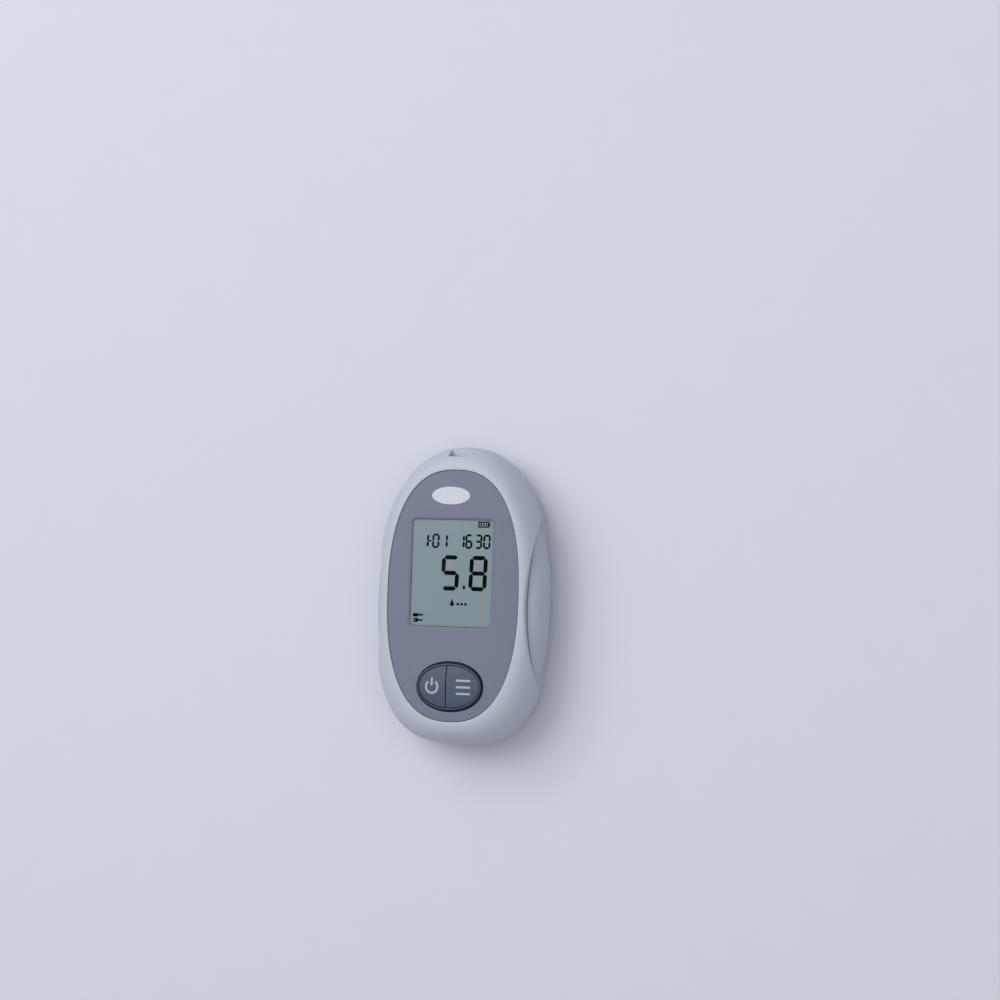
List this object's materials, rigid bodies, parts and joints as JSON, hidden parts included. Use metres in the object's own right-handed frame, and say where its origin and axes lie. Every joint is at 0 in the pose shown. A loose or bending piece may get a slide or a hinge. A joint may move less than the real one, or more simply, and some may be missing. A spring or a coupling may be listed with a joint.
{
  "type": "blood glucose meter",
  "caption": "Handheld blood glucose meter: egg-shaped body, oval face panel with display window and split oval keys, strip port in the top end, side grips, sliding battery door.",
  "frame": {"origin": "centre of the flat back, on the surface that the meter lies on", "axes": "+Z out of the face, +Y towards the strip port, +X to the right of someone who reads the display"},
  "size_m": [0.0576, 0.096, 0.0232],
  "materials": {
    "shell_plastic": "satin moulded, light cool grey",
    "grip_rubber": "soft-touch, slightly darker than the shells",
    "panel_plastic": "fine matte, mid blue-grey",
    "key_plastic": "satin, dark blue-grey",
    "lens_plastic": "clear, polished",
    "display_glass": "grey-green reflective display",
    "holder_plastic": "plain moulded",
    "conductive_rubber": "matte",
    "board_laminate": "solder-masked laminate",
    "black_plastic": "moulded, dark",
    "gold_contact": "plated, bright",
    "steel": "nickel-plated",
    "battery_case": "printed sleeve over a metal can",
    "label_film": "bare film"
  },
  "bodies": {
    "housing": {"front_shell": "shell_plastic", "rear_shell": "shell_plastic", "face_panel": "panel_plastic", "lcd_lens": "lens_plastic", "lcd_glass": "display_glass", "lcd_holder": "holder_plastic", "zebra_strip_top": "conductive_rubber", "zebra_strip_bottom": "conductive_rubber", "main_board": "board_laminate", "key_bezel": "key_plastic", "left_switch_body": "black_plastic", "left_grip": "grip_rubber", "right_switch_body": "black_plastic", "right_grip": "grip_rubber", "strip_port": "black_plastic", "strip_contact_1": "gold_contact", "strip_contact_2": "gold_contact", "strip_contact_3": "gold_contact", "left_battery": "battery_case", "right_battery": "battery_case", "bridge_plate": "steel", "left_contact_plate": "steel", "right_contact_plate": "steel", "left_battery_spring": "steel", "right_battery_spring": "steel", "case_screw_1": "steel", "case_screw_2": "steel", "case_screw_3": "steel", "case_screw_4": "steel", "buzzer": "black_plastic", "microcontroller": "black_plastic"},
    "left_key_group": {"left_key": "key_plastic", "left_switch_stem": "steel"},
    "right_key_group": {"right_key": "key_plastic", "right_switch_stem": "steel"},
    "door": {"battery_door": "shell_plastic", "rear_label": "label_film"}
  },
  "joints": [
    {"name": "left_key_press", "type": "slide", "parent": "housing", "child": "left_key_group", "axis": [0, 0, -1], "range_m": [0, 0.0008], "stiffness_N_per_m": 1500, "springref_m": -0.0003},
    {"name": "right_key_press", "type": "slide", "parent": "housing", "child": "right_key_group", "axis": [0, 0, -1], "range_m": [0, 0.0008], "stiffness_N_per_m": 1500, "springref_m": -0.0003},
    {"name": "battery_door_slide", "type": "slide", "parent": "housing", "child": "door", "axis": [0, -1, 0], "range_m": [0, 0.055]}
  ]
}
